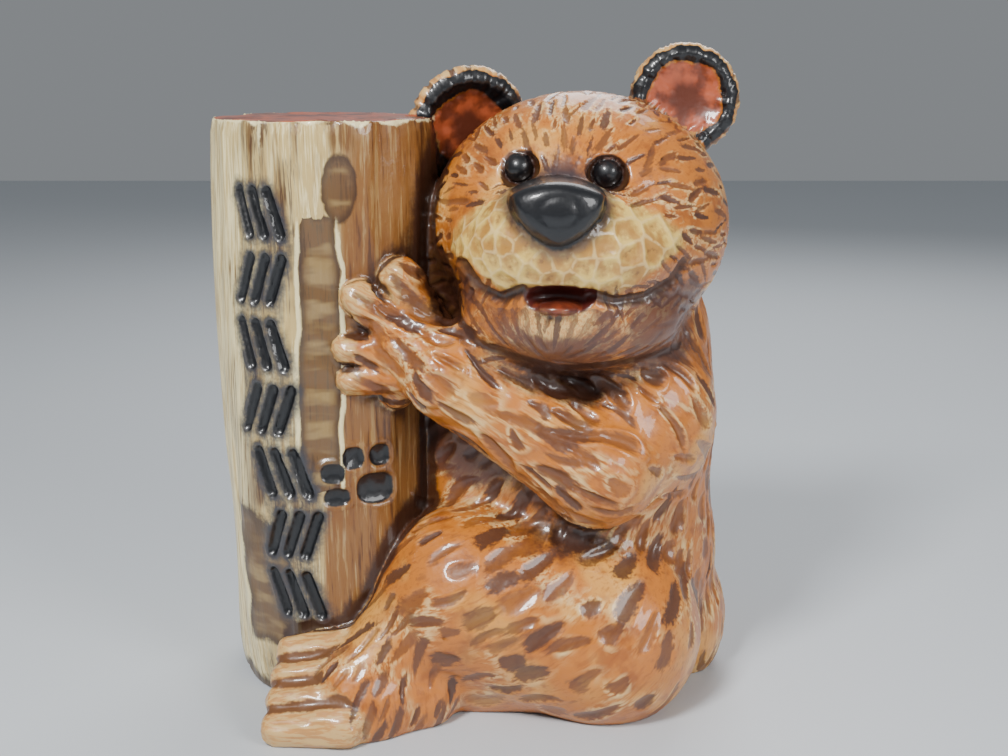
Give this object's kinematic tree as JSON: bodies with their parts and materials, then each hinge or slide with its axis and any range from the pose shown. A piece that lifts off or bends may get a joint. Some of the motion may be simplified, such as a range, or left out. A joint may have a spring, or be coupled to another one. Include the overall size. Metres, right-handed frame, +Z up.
{
  "type": "ceramic bear figurine",
  "caption": "Glazed ceramic figurine of a carved-wood style bear seated on its haunches, hugging an upright log.",
  "frame": {"origin": "centre of the underside's bounding box, on the surface the figurine stands on", "axes": "+Z up, the log stands at -X, and the bear's face looks towards -Y"},
  "size_m": [0.2688, 0.215, 0.3299],
  "materials": {
    "glazed_fur": "gloss"
  },
  "bodies": {
    "root": {"bear_figurine": "glazed_fur"}
  },
  "joints": []
}
